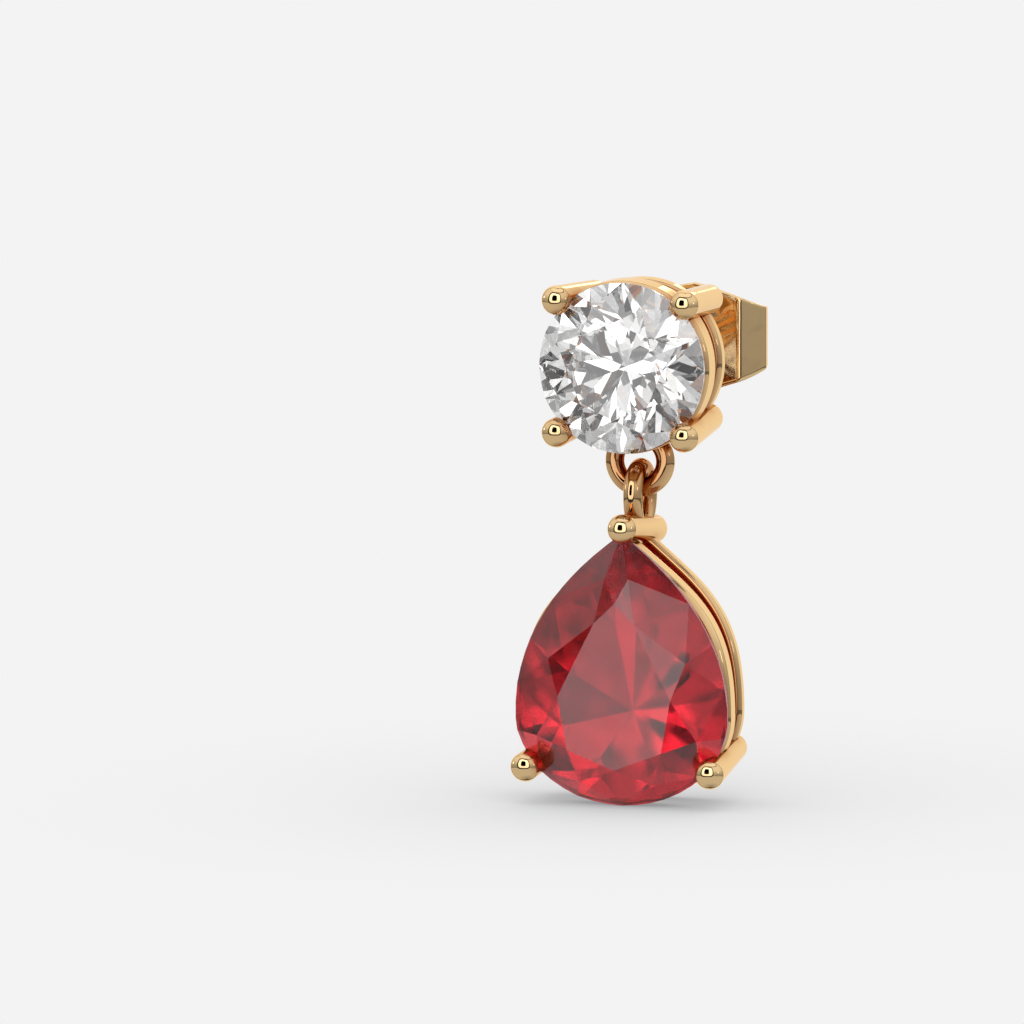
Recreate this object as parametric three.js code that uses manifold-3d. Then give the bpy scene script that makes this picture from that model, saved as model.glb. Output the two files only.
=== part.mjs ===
// Drop earring: a round stone in a four-prong basket on an ear post, a ring soldered under the
// basket, and a pear-shaped stone in a three-prong basket whose bail hangs through that ring.
// A butterfly friction back slides on the post. Units are millimetres, +Z is up, the stones face -Y.
// Every piece is drawn in the girdle frame, whose y = 0 is the plane of the stones' widest edges and
// whose z = 0 is the axis of the post. The last lines shift it so that the origin lies on the
// post's axis in the middle of the ear lobe.

import * as THREE from "three";
import { mergeVertices } from "three/addons/utils/BufferGeometryUtils.js";
import Module from "manifold-3d";

const wasm = await Module();
wasm.setup();

// Round stone
const roundRadius = 3.14;
const roundTableRadius = 1.8;
const roundCrownHeight = 0.95;
const roundPavilionDepth = 2.7;
const roundGirdle = 0.16;

// Pear stone
const pearHalfWidth = 4.05;
const pearShoulder = 6.7; // from the widest line up to the apex
const pearBelly = 3.3; // from the widest line down to the bottom
const pearCrownHeight = 0.92;
const pearPavilionDepth = 3.3;
const pearGirdle = 0.2;

// Shares of a stone's crown and pavilion
const starShare = 0.36; // how far down the crown the star facets reach
const roundLowerShare = 0.77; // how far towards the tip the lower halves reach
const pearLowerShare = 0.5;
const facetSteps = 3; // pieces of the girdle's curve in each half facet

// Basket of the round stone
const studProngRadius = 0.53;
const studProngSpread = 2.44; // of the ball's centre, in x and in z
const studProngFront = -0.25;
const studProngBack = 3.85;
const studProngLean = 0.26; // how far the back end leans in, in x and in z
const studProngRound = 0.2; // of the back end's edge
const studSeatRail = { front: 0.2, back: 1.3, outer: 3.2, wide: 0.5 };
const studBaseRail = { behindRing: 0.1, deep: 0.7, outer: 3.03, wide: 0.5 }; // soldered to the ring
const railRound = 0.16;
const bridgeFront = 3.2;
const bridgeDeep = 0.55;
const bridgeWide = 0.8;

// Ear post
const postRadius = 0.4;
const postEnd = 13.4;
const notchRadius = 0.31;
const notchLength = 0.35;
const notchFromEnd = 1.0;
const postTip = 0.3;

// Ring under the basket, and the bail that hangs through it
const ringRadius = 0.965; // of the wire's centre line
const ringWire = 0.345;
const ringDrop = 3.7; // from the post's axis down to the ring's centre
const ringDepth = 2.3;
const bailRadius = 0.95;
const bailWire = 0.35;
const linkGap = 0.03;

// Basket of the pear stone, heights above the pear's bottom
const dropProngRadius = 0.53;
const apexProng = { pastApex: 0.17, front: 0.0, back: 4.1, lean: 0.49 };
const lowProng = { out: 3.52, high: 1.34, front: -0.6, back: 3.4, leanIn: 0.27, leanUp: 0.53 };
const dropProngRound = 0.2;
const dropSeatRail = { front: 0.22, back: 1.15, share: 0.99, rise: 1.035, wide: 0.48 };
const dropBaseRail = { front: 2.3, back: 2.9, share: 0.945, rise: 1.025, wide: 0.48 };
const prongRoot = 0.518; // how deep the bail sits in the apex prong

// Friction back
const backHalfWidth = 2.45; // to the middle of the sheet
const backHalfHeight = 2.1;
const backDepth = 1.9;
const backSheet = 0.22;
const backGap = 0.05; // between the post and what slides on it
const collarWall = 0.25;
const collarLength = 0.4;
// The strip's run from its middle to its tip, as shares of the three sizes above
const backStrip = [
  { out: 0.0, behind: 0.0, tall: 1.0 },
  { out: 0.35, behind: 0.0, tall: 0.94 },
  { out: 0.66, behind: 0.03, tall: 0.8 },
  { out: 0.88, behind: 0.13, tall: 0.67 },
  { out: 1.0, behind: 0.36, tall: 0.57 },
  { out: 0.97, behind: 0.66, tall: 0.53 },
  { out: 0.8, behind: 0.93, tall: 0.5 },
  { out: 0.52, behind: 1.0, tall: 0.44 },
  { out: 0.3, behind: 0.86, tall: 0.42 },
];
const tipBehind = 0.5;
const tipTall = 0.4;

// Fits
const lobeThickness = 5.2; // between the basket's back and the friction back
const seatGap = 0.04; // between a stone and its metal

// Fineness of the round forms
const wireSides = 14;
const noseSteps = 5;
const railSteps = 48;
const ringSides = 10;
const ringSteps = 30;
const archSteps = 16;
const stripSteps = 44;

const apexHigh = pearBelly + pearShoulder + apexProng.pastApex; // of its ball, above the pear's bottom
const lobeFront = studProngBack;
const lobeMiddle = lobeFront + lobeThickness / 2;
const backFront = lobeFront + lobeThickness;

const Y_AXIS = new THREE.Vector3(0, 1, 0);

const materials = {
  gold: new THREE.MeshStandardMaterial({ color: 0xd9a866, metalness: 1, roughness: 0.16 }),
  clearStone: new THREE.MeshStandardMaterial({ color: 0xf4f6f8, metalness: 0, roughness: 0.02 }),
  redStone: new THREE.MeshStandardMaterial({ color: 0xb4152c, metalness: 0, roughness: 0.03 }),
};

// A closed geometry as a solid: only positions, shared corners merged, collapsed faces dropped.
function solidOf(geometry) {
  const bare = new THREE.BufferGeometry();
  bare.setAttribute("position", geometry.getAttribute("position"));
  bare.setIndex(geometry.index);
  const merged = mergeVertices(bare, 1e-4);
  const corners = merged.index.array;
  const kept = [];
  for (let i = 0; i < corners.length; i += 3) {
    const [a, b, c] = [corners[i], corners[i + 1], corners[i + 2]];
    if (a !== b && b !== c && a !== c) kept.push(a, b, c);
  }
  return new wasm.Manifold(
    new wasm.Mesh({
      numProp: 3,
      vertProperties: merged.getAttribute("position").array,
      triVerts: new Uint32Array(kept),
    }),
  );
}

function geometryOf(solid) {
  const made = solid.getMesh();
  const geometry = new THREE.BufferGeometry();
  geometry.setAttribute("position", new THREE.BufferAttribute(new Float32Array(made.vertProperties), 3));
  geometry.setIndex(new THREE.BufferAttribute(new Uint32Array(made.triVerts), 1));
  geometry.computeVertexNormals();
  return geometry;
}

function joined(solids) {
  return solids.reduce((whole, next) => whole.add(next));
}

// A geometry of flat polygons, each a list of corners seen counter-clockwise from outside.
function faceted(polygons) {
  const places = [];
  for (const polygon of polygons) {
    for (let i = 1; i + 1 < polygon.length; i++) {
      for (const corner of [polygon[0], polygon[i], polygon[i + 1]]) places.push(...corner.toArray());
    }
  }
  const geometry = new THREE.BufferGeometry();
  geometry.setAttribute("position", new THREE.Float32BufferAttribute(places, 3));
  return mergeVertices(geometry, 1e-5);
}

// The plane through two points and along one direction.
function planeAlong(a, b, direction) {
  const normal = new THREE.Vector3().subVectors(b, a).cross(direction).normalize();
  return new THREE.Plane().setFromNormalAndCoplanarPoint(normal, a);
}

// The point at depth y on both planes.
function meetAt(p, q, y) {
  const [a, b, c, d] = [p.normal.x, p.normal.z, q.normal.x, q.normal.z];
  const e = -p.constant - p.normal.y * y;
  const f = -q.constant - q.normal.y * y;
  const det = a * d - b * c;
  return new THREE.Vector3((e * d - b * f) / det, y, (a * f - e * c) / det);
}

function depthOn(plane, x, z) {
  return -(plane.constant + plane.normal.x * x + plane.normal.z * z) / plane.normal.y;
}

// A brilliant-cut stone with eight table corners. outline(u) is its girdle for u from 0 to 8, with a
// kite at each whole u and two half facets between kites; table lists the table's corners, and tip
// is the point at the back, towards which the lower halves reach by lowerShare. Kites hold their
// table corner and girdle corner and lie along the chord of the girdle beside them, so each is flat,
// and the girdle's edge follows the half facets.
function brilliant({ outline, table, tip, crown, girdle, lowerShare }) {
  const count = table.length;
  const polygons = [];
  const flat = (u, y) => {
    const p = outline(((u % count) + count) % count);
    return new THREE.Vector3(p.x, y, p.y);
  };
  const edges = [];
  const tableCorner = (i) => new THREE.Vector3(table[i].x, -girdle / 2 - crown, table[i].y);
  for (const side of [
    { far: tableCorner, edge: -girdle / 2, share: 1 - starShare },
    { far: () => tip, edge: girdle / 2, share: lowerShare },
  ]) {
    const front = side.edge < 0;
    const put = (polygon) => polygons.push(front ? polygon.slice().reverse() : polygon);
    const kites = table.map((_, i) => {
      const along = flat(i + 0.5, 0).sub(flat(i - 0.5, 0));
      return planeAlong(side.far(i), flat(i, side.edge), along);
    });
    const depth = THREE.MathUtils.lerp(side.edge, side.far(0).y, side.share);
    const stars = kites.map((kite, i) => meetAt(kite, kites[(i + 1) % count], depth));
    const rim = [];
    for (let i = 0; i < count; i++) {
      const before = stars[(i + count - 1) % count];
      put([side.far(i), before, flat(i, side.edge), stars[i]]);
      if (front) put([tableCorner(i), stars[i], tableCorner((i + 1) % count)]);
      for (const half of [0, 0.5]) {
        const plane = new THREE.Plane().setFromCoplanarPoints(
          stars[i],
          flat(i + half, side.edge),
          flat(i + half + 0.5, side.edge),
        );
        const run = [];
        for (let s = 0; s <= facetSteps; s++) {
          const p = flat(i + half + (0.5 * s) / facetSteps, side.edge);
          const atCorner = s === 0 || s === facetSteps;
          if (!atCorner) p.y = depthOn(plane, p.x, p.z);
          run.push(p);
        }
        put([stars[i], ...run]);
        rim.push(...run.slice(0, -1));
      }
    }
    edges.push(rim);
    if (front) put(table.map((_, i) => tableCorner(i)));
  }
  const [near, back] = edges;
  near.forEach((p, i) => {
    const j = (i + 1) % near.length;
    polygons.push([p, near[j], back[j], back[i]]);
  });
  return solidOf(faceted(polygons));
}

const onCircle = (radius) => (u) => {
  const angle = (u * Math.PI) / 4;
  return new THREE.Vector2(radius * Math.sin(angle), radius * Math.cos(angle));
};

// Half of the pear's outline: s from 0 at the apex over 1 at the widest line to 2 at the bottom.
// Its second coordinate is the height above the bottom.
const shoulderCurve = new THREE.CubicBezierCurve(
  new THREE.Vector2(0, pearBelly + pearShoulder),
  new THREE.Vector2(0.58 * pearHalfWidth, pearBelly + 0.75 * pearShoulder),
  new THREE.Vector2(pearHalfWidth, pearBelly + 0.42 * pearShoulder),
  new THREE.Vector2(pearHalfWidth, pearBelly),
);

function pearSide(s) {
  if (s <= 1) return shoulderCurve.getPoint(s);
  const angle = ((s - 1) * Math.PI) / 2;
  return new THREE.Vector2(pearHalfWidth * Math.cos(angle), pearBelly * (1 - Math.sin(angle)));
}

// Where the kites and the joints of the half facets meet the girdle, as values of s
const pearStations = [0, 0.235, 0.43, 0.65, 0.87, 1.13, 1.444, 1.733, 2];
const pearTable = [
  { out: 0, high: 0.754 },
  { out: 0.191, high: 0.68 },
  { out: 0.531, high: 0.405 },
  { out: 0.444, high: 0.21 },
  { out: 0, high: 0.141 },
];

function pearOutline(u) {
  const right = u <= 4;
  const step = 2 * (right ? u : 8 - u);
  const low = Math.min(Math.floor(step), pearStations.length - 2);
  const s = THREE.MathUtils.lerp(pearStations[low], pearStations[low + 1], step - low);
  const p = pearSide(s);
  return new THREE.Vector2(right ? p.x : -p.x, p.y);
}

// A wire with a ball nose round "from" and a flat end at "to" whose edge is rounded.
function nosedWire(radius, round, from, to) {
  const length = from.distanceTo(to);
  const profile = [];
  for (let i = 0; i <= noseSteps; i++) {
    const angle = ((i / noseSteps) * Math.PI) / 2;
    profile.push(new THREE.Vector2(radius * Math.sin(angle), -radius * Math.cos(angle)));
  }
  for (const angle of [0, Math.PI / 4, Math.PI / 2]) {
    const r = radius - round * (1 - Math.cos(angle));
    profile.push(new THREE.Vector2(r, length - round * (1 - Math.sin(angle))));
  }
  profile.push(new THREE.Vector2(0, length));
  profile[0].x = 0;
  const geometry = new THREE.LatheGeometry(profile, wireSides);
  const turn = new THREE.Quaternion().setFromUnitVectors(Y_AXIS, to.clone().sub(from).normalize());
  geometry.applyQuaternion(turn).translate(from.x, from.y, from.z);
  return solidOf(geometry);
}

// A closed section with cut corners between two radii and two depths.
function railSection(inner, outer, front, back) {
  const cut = Math.min(railRound, (outer - inner) / 3, (back - front) / 3);
  const corners = [
    [inner, front + cut],
    [inner + cut, front],
    [outer - cut, front],
    [outer, front + cut],
    [outer, back - cut],
    [outer - cut, back],
    [inner + cut, back],
    [inner, back - cut],
    [inner, front + cut],
  ];
  return corners.map(([r, y]) => new THREE.Vector2(r, y));
}

function roundRail({ front, back, outer, wide }) {
  return solidOf(new THREE.LatheGeometry(railSection(outer - wide, outer, front, back), railSteps));
}

// The ring under the basket, a torus of wire in the XZ plane.
function studRing() {
  const geometry = new THREE.TorusGeometry(ringRadius, ringWire, ringSides, ringSteps);
  geometry.rotateX(Math.PI / 2).translate(ringMiddle.x, ringMiddle.y, ringMiddle.z);
  return solidOf(geometry);
}

// The bail, a wire bent into a half circle with two straight legs that end on the apex prong's axis.
function bailWireLoop() {
  const top = (side) => new THREE.Vector3(0, bailMiddle.y + side * bailRadius, bailMiddle.z);
  const foot = (side) => top(side).setZ(apexAxisHeight(bailMiddle.y + side * bailRadius));
  const arch = new THREE.Path();
  arch.absarc(bailMiddle.y, bailMiddle.z, bailRadius, Math.PI, 0, true);
  const run = [foot(-1), ...arch.getPoints(archSteps).map((p) => new THREE.Vector3(0, p.x, p.y)), foot(1)];
  const section = (at, i) => {
    const next = run[Math.min(i + 1, run.length - 1)];
    const along = next.clone().sub(run[Math.max(i - 1, 0)]).normalize();
    const across = new THREE.Vector3(0, -along.z, along.y);
    return [...Array(ringSides).keys()].map((k) => {
      const angle = (2 * Math.PI * k) / ringSides;
      const out = across.clone().multiplyScalar(bailWire * Math.cos(angle));
      return at.clone().add(out).add(new THREE.Vector3(bailWire * Math.sin(angle), 0, 0));
    });
  };
  return loft(run.map(section));
}

// The pear's outline drawn by share about its tip line, its upper part by rise in height, and then moved
// in by inset along its normals.
function pearLoop({ share, rise }, inset) {
  const steps = railSteps / 2;
  const half = [];
  for (let i = 0; i <= steps; i++) {
    const s = (2 * i) / steps;
    const p = pearSide(s);
    const along = pearSide(Math.min(s + 0.01, 2)).sub(pearSide(Math.max(s - 0.01, 0))).normalize();
    const x = p.x * share + along.y * inset;
    const z = pearBelly + (p.y - pearBelly) * (p.y > pearBelly ? rise : share) - along.x * inset;
    if (x > inset * 0.2 || i === steps) half.push(new THREE.Vector2(i === steps ? 0 : x, z));
  }
  if (inset === 0) half.unshift(new THREE.Vector2(0, pearBelly + pearShoulder * rise));
  const mirrored = half.filter((p) => p.x > 0).map((p) => new THREE.Vector2(-p.x, p.y)).reverse();
  return [...half, ...mirrored];
}

function pearRail({ front, back, share, rise, wide }) {
  const shape = new THREE.Shape(pearLoop({ share, rise }, 0));
  shape.holes.push(new THREE.Path(pearLoop({ share, rise }, wide).reverse()));
  const bevel = Math.min(railRound, (back - front) / 3);
  const geometry = new THREE.ExtrudeGeometry(shape, {
    depth: back - front - 2 * bevel,
    bevelEnabled: true,
    bevelThickness: bevel,
    bevelSize: bevel,
    bevelOffset: -bevel,
    bevelSegments: 1,
  });
  geometry.rotateX(Math.PI / 2).translate(0, back - bevel, pearBottom);
  return solidOf(geometry);
}

// A copy of a stone grown about a point by the seat gap, which cuts the stone's seat.
function seatCutter(stone, middle, radius) {
  const grow = 1 + seatGap / radius;
  return stone
    .translate([-middle.x, -middle.y, -middle.z])
    .scale([grow, grow, grow])
    .translate([middle.x, middle.y, middle.z]);
}

function roundStone() {
  const table = [...Array(8).keys()].map((i) => onCircle(roundTableRadius)(i));
  return brilliant({
    outline: onCircle(roundRadius),
    table,
    tip: new THREE.Vector3(0, roundGirdle / 2 + roundPavilionDepth, 0),
    crown: roundCrownHeight,
    girdle: roundGirdle,
    lowerShare: roundLowerShare,
  });
}

function pearStone() {
  const length = pearBelly + pearShoulder;
  const right = pearTable.map((c) => new THREE.Vector2(c.out * pearHalfWidth, c.high * length));
  const left = right.slice(1, -1).reverse().map((p) => new THREE.Vector2(-p.x, p.y));
  return brilliant({
    outline: pearOutline,
    table: [...right, ...left],
    tip: new THREE.Vector3(0, pearGirdle / 2 + pearPavilionDepth, pearBelly),
    crown: pearCrownHeight,
    girdle: pearGirdle,
    lowerShare: pearLowerShare,
  }).translate([0, 0, pearBottom]);
}

function earPost() {
  const notchBack = postEnd - notchFromEnd;
  const notchFront = notchBack - notchLength;
  const slope = postRadius - notchRadius;
  const profile = [
    [0, bridgeFront + 0.1],
    [postRadius, bridgeFront + 0.1],
    [postRadius, notchFront - slope],
    [notchRadius, notchFront],
    [notchRadius, notchBack],
    [postRadius, notchBack + slope],
    [postRadius, postEnd - postTip],
    [0.7 * postRadius, postEnd - 0.25 * postTip],
    [0, postEnd],
  ];
  return solidOf(new THREE.LatheGeometry(profile.map(([r, y]) => new THREE.Vector2(r, y)), wireSides));
}

// Two crossed bars behind the round stone, from prong to prong, that carry the post.
function bridge() {
  const reach = 2 * Math.SQRT2 * (studProngSpread - studProngLean);
  return [1, -1].map((side) => {
    const bar = new THREE.BoxGeometry(reach, bridgeDeep, bridgeWide);
    bar.rotateY((side * Math.PI) / 4).translate(0, bridgeFront + bridgeDeep / 2, 0);
    return solidOf(bar);
  });
}

function studSetting(stone) {
  const prongs = [];
  for (const x of [1, -1]) {
    for (const z of [1, -1]) {
      const spread = studProngSpread;
      const end = studProngSpread - studProngLean;
      const tip = new THREE.Vector3(x * spread, studProngFront, z * spread);
      const back = new THREE.Vector3(x * end, studProngBack, z * end);
      prongs.push(nosedWire(studProngRadius, studProngRound, tip, back));
    }
  }
  const baseFront = ringDepth + studBaseRail.behindRing;
  const base = { ...studBaseRail, front: baseFront, back: baseFront + studBaseRail.deep };
  const seat = seatCutter(stone, new THREE.Vector3(0, 0, 0), roundRadius);
  const basket = joined([...prongs, roundRail(studSeatRail), roundRail(base), ...bridge()]);
  return joined([basket.subtract(seat), studRing(), earPost()]);
}

function dropSetting(stone) {
  const apex = new THREE.Vector3(0, apexProng.front, pearBottom + apexHigh);
  const apexEnd = new THREE.Vector3(0, apexProng.back, apex.z - apexProng.lean);
  const prongs = [nosedWire(dropProngRadius, dropProngRound, apex, apexEnd)];
  for (const side of [1, -1]) {
    const tip = new THREE.Vector3(side * lowProng.out, lowProng.front, pearBottom + lowProng.high);
    const end = new THREE.Vector3(
      side * (lowProng.out - lowProng.leanIn),
      lowProng.back,
      tip.z + lowProng.leanUp,
    );
    prongs.push(nosedWire(dropProngRadius, dropProngRound, tip, end));
  }
  const middle = new THREE.Vector3(0, 0, pearBottom + pearBelly);
  const basket = joined([...prongs, pearRail(dropSeatRail), pearRail(dropBaseRail)]);
  return joined([basket.subtract(seatCutter(stone, middle, pearHalfWidth)), bailWireLoop()]);
}

// A closed solid through rings of corners, with flat ends.
function loft(rings) {
  const polygons = [];
  const sides = rings[0].length;
  for (let i = 0; i + 1 < rings.length; i++) {
    for (let k = 0; k < sides; k++) {
      const next = (k + 1) % sides;
      polygons.push([rings[i][k], rings[i][next], rings[i + 1][next], rings[i + 1][k]]);
    }
  }
  polygons.push(rings[0].slice().reverse());
  polygons.push(rings[rings.length - 1]);
  return solidOf(faceted(polygons));
}

// A sheet strip whose ends curl back and in until they grip the post, with a collared hole.
function frictionBack() {
  const tipOut = postRadius + backGap + backSheet / 2;
  const right = backStrip.map(
    (row) => new THREE.Vector3(row.out * backHalfWidth, row.behind * backDepth, row.tall * backHalfHeight),
  );
  right.push(new THREE.Vector3(tipOut, tipBehind * backDepth, tipTall * backHalfHeight));
  const left = right.slice(1).reverse().map((p) => new THREE.Vector3(-p.x, p.y, p.z));
  const run = new THREE.CatmullRomCurve3([...left, ...right]);
  const rings = [];
  for (let i = 0; i <= stripSteps; i++) {
    const p = run.getPoint(i / stripSteps);
    const along = run.getTangent(i / stripSteps).setZ(0).normalize();
    const across = new THREE.Vector3(-along.y, along.x, 0).multiplyScalar(backSheet / 2);
    const centre = new THREE.Vector3(p.x, backFront + backSheet / 2 + p.y, 0);
    const tall = new THREE.Vector3(0, 0, p.z);
    rings.push([
      centre.clone().add(across).sub(tall),
      centre.clone().add(across).add(tall),
      centre.clone().sub(across).add(tall),
      centre.clone().sub(across).sub(tall),
    ]);
  }
  const hole = postRadius + backGap;
  const collar = [
    [hole, backFront],
    [hole + collarWall, backFront],
    [hole + collarWall, backFront + backSheet + collarLength],
    [hole, backFront + backSheet + collarLength],
    [hole, backFront],
  ];
  const bore = new THREE.CylinderGeometry(hole, hole, 4 * backSheet, wireSides);
  bore.translate(0, backFront, 0);
  const tube = new THREE.LatheGeometry(collar.map(([r, y]) => new THREE.Vector2(r, y)), wireSides);
  return loft(rings).subtract(solidOf(bore)).add(solidOf(tube));
}

const ringMiddle = new THREE.Vector3(0, ringDepth, -ringDrop);
const bailTop = -ringDrop - ringRadius + ringWire + linkGap + bailWire;
const bailMiddle = new THREE.Vector3(0, ringDepth, bailTop - bailRadius);
const apexLean = apexProng.lean / (apexProng.back - apexProng.front);
const leanThere = apexLean * (ringDepth - apexProng.front);
const prongTopThere = bailTop - 2 * bailRadius - bailWire + prongRoot;
const pearBottom = prongTopThere - dropProngRadius + leanThere - apexHigh;
const apexAxisHeight = (y) => pearBottom + apexHigh - apexLean * (y - apexProng.front);

const roundCut = roundStone();
const pearCut = pearStone();
const pieces = [
  { name: "round_stone", solid: roundCut, material: materials.clearStone },
  { name: "stud_setting", solid: studSetting(roundCut), material: materials.gold },
  { name: "pear_stone", solid: pearCut, material: materials.redStone },
  { name: "drop_setting", solid: dropSetting(pearCut), material: materials.gold },
  { name: "friction_back", solid: frictionBack(), material: materials.gold },
];

const earring = new THREE.Group();
for (const { name, solid, material } of pieces) {
  const mesh = new THREE.Mesh(geometryOf(solid), material);
  mesh.name = name;
  mesh.position.y = -lobeMiddle;
  earring.add(mesh);
}

export default earring;
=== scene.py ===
"""The looks of a drop earring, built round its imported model.

The metal is polished gold, the round stone is clear and the pear stone is red. Everything ends up in metres
in the model's own frame: +Z is up, the stones face -Y, and the post lies on the Y axis. Sizes are written in
millimetres. Depths are counted from the girdle plane, the plane of the stones' widest edges, and Piece.make
moves them into the frame.
"""

import logging
import math
from collections.abc import Sequence
from dataclasses import dataclass
from enum import Enum

import bmesh
import bpy
import numpy as np
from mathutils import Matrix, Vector


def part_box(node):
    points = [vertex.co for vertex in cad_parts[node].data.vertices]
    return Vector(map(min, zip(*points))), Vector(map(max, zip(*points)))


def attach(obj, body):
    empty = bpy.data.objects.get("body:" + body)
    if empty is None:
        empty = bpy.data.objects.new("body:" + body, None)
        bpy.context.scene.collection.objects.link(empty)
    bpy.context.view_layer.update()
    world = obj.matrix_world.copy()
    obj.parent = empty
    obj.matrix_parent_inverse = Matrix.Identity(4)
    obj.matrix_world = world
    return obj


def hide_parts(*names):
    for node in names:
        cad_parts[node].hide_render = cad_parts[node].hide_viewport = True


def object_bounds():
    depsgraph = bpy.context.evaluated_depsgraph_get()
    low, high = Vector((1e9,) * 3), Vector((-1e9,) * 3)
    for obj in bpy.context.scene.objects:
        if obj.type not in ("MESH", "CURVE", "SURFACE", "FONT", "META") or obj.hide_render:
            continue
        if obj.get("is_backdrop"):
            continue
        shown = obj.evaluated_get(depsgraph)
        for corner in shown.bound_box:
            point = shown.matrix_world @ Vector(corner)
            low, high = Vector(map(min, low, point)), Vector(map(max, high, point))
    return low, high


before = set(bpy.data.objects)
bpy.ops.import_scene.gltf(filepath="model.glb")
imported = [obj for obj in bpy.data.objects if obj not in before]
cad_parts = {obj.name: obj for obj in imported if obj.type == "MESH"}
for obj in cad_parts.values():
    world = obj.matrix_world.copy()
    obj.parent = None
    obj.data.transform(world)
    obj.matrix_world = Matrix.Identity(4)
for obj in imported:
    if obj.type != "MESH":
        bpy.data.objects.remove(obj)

log = logging.getLogger("earring")

MM = 0.001
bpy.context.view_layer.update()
FULL_TURN = 2 * math.pi
Color = tuple[float, float, float, float]
SUPPORT = 0.06  # how far along a straight side its support points lie
BACKWARDS = np.array([0, 1.0, 0])
WIRE_SIDES = 40
RING_STEPS = 120

# Sizes that more than one piece follows, in millimetres
ROUND_CROWN = 0.95
ROUND_GIRDLE = 0.16
RING_DEPTH = 2.3
CAMERA_AZIMUTH = 17.16
CAMERA_ELEVATION = 7.6

# Depth of the girdle plane in the frame, from the table of the round stone
GIRDLE_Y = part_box("round_stone")[0].y / MM + ROUND_CROWN + ROUND_GIRDLE / 2
PEAR_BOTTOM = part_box("pear_stone")[0].z / MM


class Body(Enum):
    """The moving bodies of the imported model."""

    STUD = "stud"
    DROP = "drop"
    BACK = "back"


class Wrap(Enum):
    """Which of a grid's two directions closes on itself."""

    COLUMNS = (False, True)
    BOTH = (True, True)


def unit(vectors: np.ndarray) -> np.ndarray:
    """Vectors of the same directions with length one."""
    return vectors / np.linalg.norm(vectors, axis=-1, keepdims=True)


def rounded(
    corners: Sequence[tuple[float, float]], radii: Sequence[float], closed: bool, steps: int = 6
) -> np.ndarray:
    """An outline in a plane whose corners are arcs, with a support point beside each arc.

    At a corner c with unit directions p and n to its neighbours, h half the angle between them and b their
    unit bisector, the arc's centre is c + b * r / sin(h), and its ends are c + p * r / tan(h) and
    c + n * r / tan(h). Each straight side gets a point near either end, which keeps its shading flat.

    Args:
        corners: the corners in order.
        radii: the arc's radius at each corner; zero keeps the corner sharp.
        closed: whether the last corner joins the first.
        steps: the number of chords in an arc.

    Returns:
        An array of points, n by 2.
    """
    points = np.array(corners, float)
    before = np.roll(points, 1, 0)
    after = np.roll(points, -1, 0)
    pieces = []
    for i, (corner, radius) in enumerate(zip(points, radii)):
        end = not closed and i in (0, len(points) - 1)
        if end or radius == 0:
            pieces.append(corner[None])
            continue
        p = unit(before[i] - corner)
        n = unit(after[i] - corner)
        half = math.acos(float(np.clip(p @ n, -1, 1))) / 2
        centre = corner + unit(p + n) * radius / math.sin(half)
        first = corner + p * radius / math.tan(half) - centre
        last = corner + n * radius / math.tan(half) - centre
        sweep = math.pi - 2 * half
        share = np.linspace(0, 1, steps + 1)[:, None]
        spokes = np.sin((1 - share) * sweep) * first + np.sin(share * sweep) * last
        pieces.append(centre + spokes / math.sin(sweep))
    outline = [pieces[0]]
    for here, there in zip(pieces, pieces[1:] + ([pieces[0]] if closed else [])):
        a, b = here[-1], there[0]
        outline.append(np.array([a + SUPPORT * (b - a), b + SUPPORT * (a - b)]))
        outline.append(there)
    if closed:
        outline.pop()
    return np.concatenate(outline)


def turned(profile: np.ndarray, start: np.ndarray, along: np.ndarray, sides: int) -> np.ndarray:
    """A surface of revolution: point = start + h * axis + r * (cos t * side + sin t * up).

    Args:
        profile: pairs (r, h) of the distance from the axis and the height along it.
        start: where h is zero.
        along: the axis' direction.
        sides: the number of steps of t round the axis.

    Returns:
        A grid of points, profile by sides.
    """
    axis = unit(along)
    any_other = (0.31, 0.2, 0.93)
    side = unit(np.cross(axis, any_other))
    up = np.cross(axis, side)
    t = np.linspace(0, FULL_TURN, sides, endpoint=False)
    spokes = np.cos(t)[:, None] * side + np.sin(t)[:, None] * up
    return start + profile[:, None, 1:] * axis + profile[:, None, :1] * spokes


def swept(path: np.ndarray, across: np.ndarray, out: np.ndarray, section: np.ndarray) -> np.ndarray:
    """A section carried along a path: point(i, j) = path_i + a_ij * across_i + b_ij * out_i.

    Args:
        path: the path's points.
        across: a unit direction for each point of the path.
        out: a second unit direction for each point.
        section: the section's coordinates (a, b) at each point of the path, or one section for all of them.

    Returns:
        A grid of points, path by section.
    """
    shape = np.broadcast_to(section, (len(path),) + section.shape[-2:])
    return path[:, None] + shape[..., :1] * across[:, None] + shape[..., 1:] * out[:, None]


def smoothed(values: np.ndarray, reach: int, **padding: str) -> np.ndarray:
    """Values averaged with a bell of weights that reaches over some of them on each side.

    Args:
        values: the values in order.
        reach: how many values on each side count.
        padding: numpy's choice of the values beyond the ends.

    Returns:
        As many values as there were.
    """
    bell = np.hanning(2 * reach + 1)
    return np.convolve(np.pad(values, reach, **padding), bell / bell.sum(), mode="valid")


def circle(radius: float, sides: int) -> np.ndarray:
    """The points (radius * cos t, radius * sin t) round a circle."""
    t = np.linspace(0, FULL_TURN, sides, endpoint=False)
    return radius * np.stack([np.cos(t), np.sin(t)], -1)


def capped(grid: np.ndarray) -> np.ndarray:
    """The grid with a row at each end that gathers in the middle of that end.

    Args:
        grid: rows by columns by 3.

    Returns:
        The grid with two more rows.
    """
    first = np.broadcast_to(grid[0].mean(0), grid[0].shape)
    last = np.broadcast_to(grid[-1].mean(0), grid[-1].shape)
    return np.concatenate([first[None], grid, last[None]])


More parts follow.
